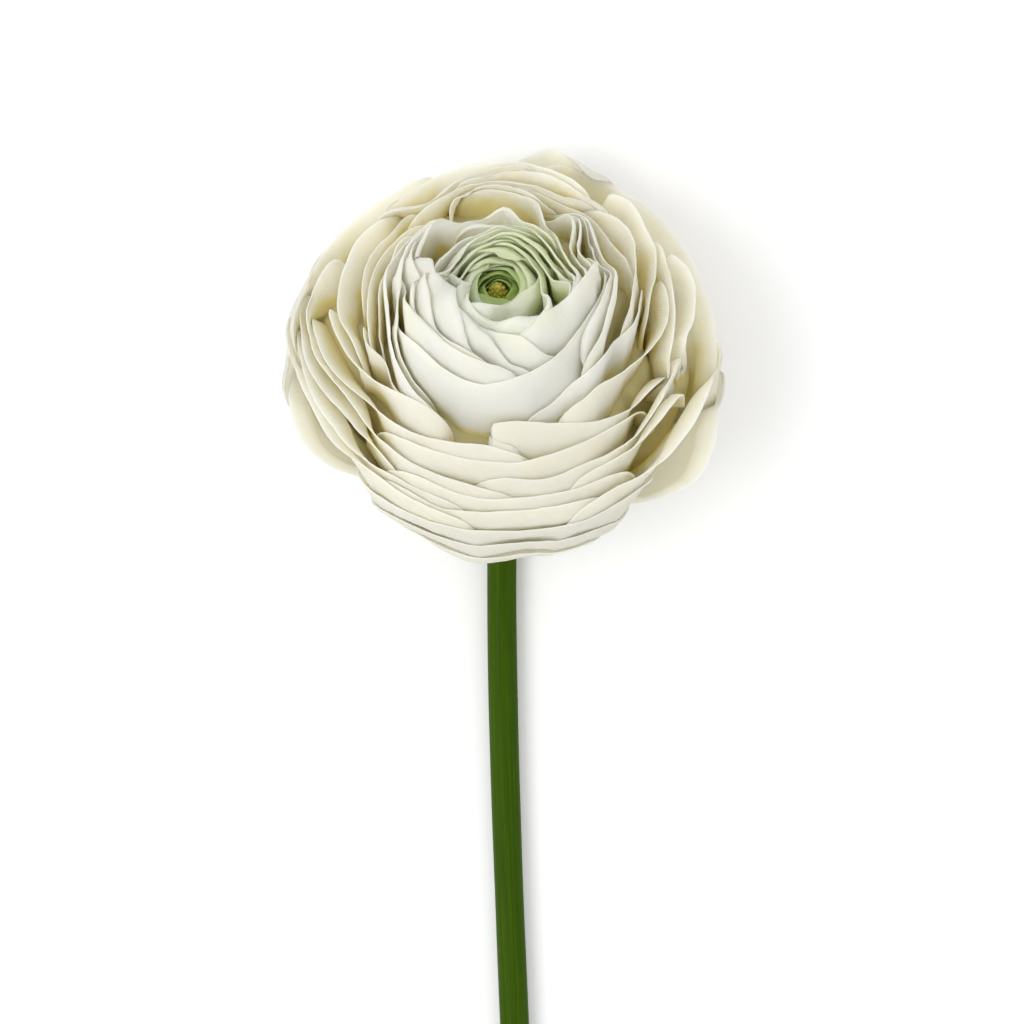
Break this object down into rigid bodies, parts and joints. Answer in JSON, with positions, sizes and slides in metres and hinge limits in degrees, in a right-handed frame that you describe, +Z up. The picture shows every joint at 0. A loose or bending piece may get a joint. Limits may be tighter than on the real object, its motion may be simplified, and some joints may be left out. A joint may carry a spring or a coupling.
{
  "type": "ranunculus flower",
  "caption": "Cut ranunculus flower lying on a surface: a full rounded bloom of thin overlapping ivory petals round a green heart, on a plain leafless green stem.",
  "frame": {"origin": "on the surface the flower lies on, on the flat underside of the stem just behind the bloom", "axes": "+Z up from the surface, -Y along the stem to its cut end, +Y towards the bloom"},
  "size_m": [0.0785, 0.2504, 0.0568],
  "materials": {
    "stem": "smooth green stem",
    "calyx": "matt pale green",
    "guard_petals": "thin matt petal, cool white",
    "outer_petals": "thin matt petal, cream",
    "inner_petals": "thin matt petal, ivory white",
    "heart_petals": "thin matt petal, pale green",
    "pistil": "matt ochre green"
  },
  "bodies": {
    "root": {"stem": "stem", "calyx": "calyx", "guard_petals": "guard_petals", "outer_petals": "outer_petals", "inner_petals": "inner_petals", "heart_petals": "heart_petals", "pistil": "pistil"}
  },
  "joints": []
}
